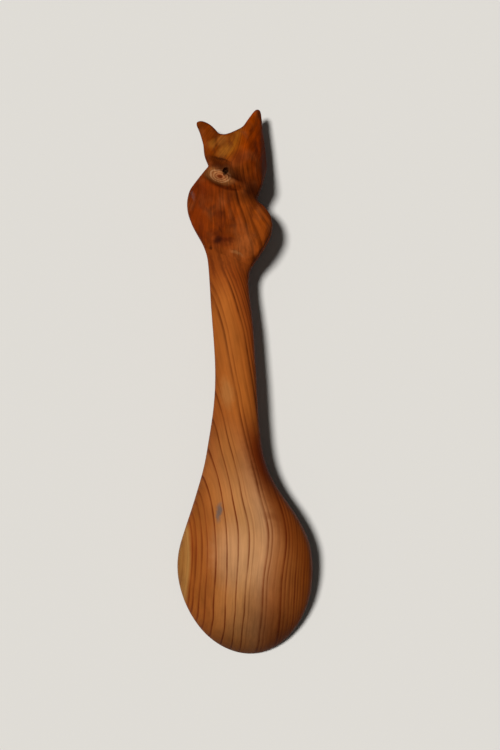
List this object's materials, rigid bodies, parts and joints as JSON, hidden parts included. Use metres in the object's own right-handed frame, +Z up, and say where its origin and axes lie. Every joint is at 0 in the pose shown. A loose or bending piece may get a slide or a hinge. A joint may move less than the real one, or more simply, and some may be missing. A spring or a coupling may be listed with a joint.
{
  "type": "love spoon",
  "caption": "Carved wooden love spoon lying face down: egg-shaped bowl, rounded stem and a seated cat carved at the top, glued and dowelled to the stem.",
  "frame": {"origin": "middle of the carving's outline seen from above, at the level of the surface that it lies on", "axes": "+Y from the tip of the bowl to the cat's ears, +Z up from the surface that it lies on, through the back of the bowl, +X to the right as seen from above with the cat at the top"},
  "size_m": [0.062, 0.25, 0.0253],
  "materials": {
    "spoon_wood": "oiled and hand polished, satin",
    "cat_wood": "oiled and hand polished, satin",
    "dowel_wood": "whittled, unfinished"
  },
  "bodies": {
    "root": {"spoon": "spoon_wood", "cat_figure": "cat_wood", "joint_dowel": "dowel_wood"}
  },
  "joints": []
}
